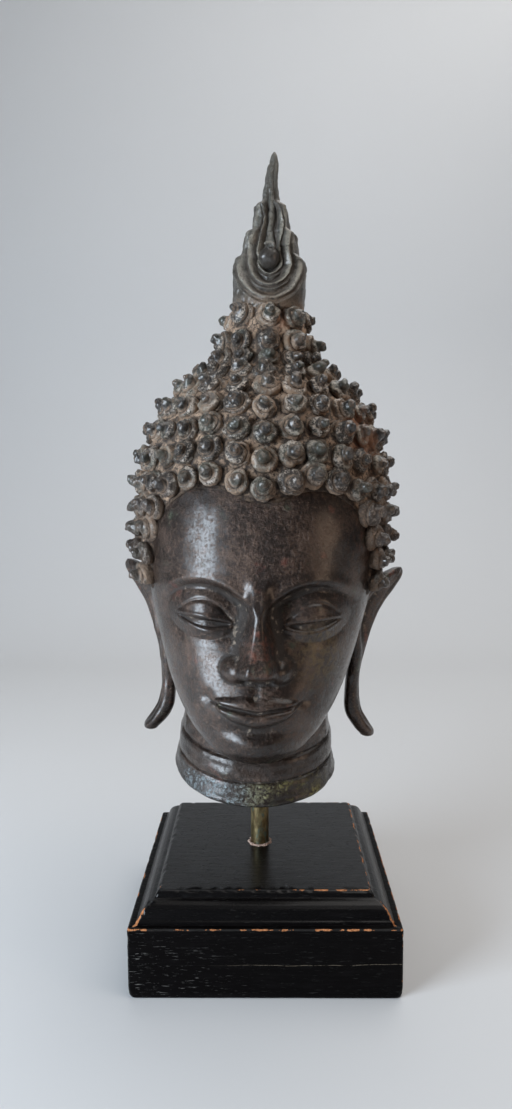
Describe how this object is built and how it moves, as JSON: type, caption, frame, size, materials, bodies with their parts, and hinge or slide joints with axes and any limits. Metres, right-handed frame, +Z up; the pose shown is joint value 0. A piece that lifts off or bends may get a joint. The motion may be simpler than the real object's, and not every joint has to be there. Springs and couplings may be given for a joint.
{
  "type": "buddha head on a stand",
  "caption": "Bronze buddha head with snail-shell curls, long ears and a flame finial, on a short rod over a moulded black wooden plinth.",
  "frame": {"origin": "middle of the plinth's underside, on the surface the object stands on", "axes": "+Z up, the face looks along -Y, +X to the viewer's right"},
  "size_m": [0.1414, 0.1425, 0.3776],
  "materials": {
    "bronze": "dark brown patina, worn satin on the face, earthy dirt between the curls",
    "rod_metal": "aged and streaked green-brown",
    "black_paint": "black paint over open grain, rubbed to bare wood on its edges"
  },
  "bodies": {
    "root": {"buddha_head": "bronze", "rod": "rod_metal", "plinth": "black_paint"}
  },
  "joints": []
}
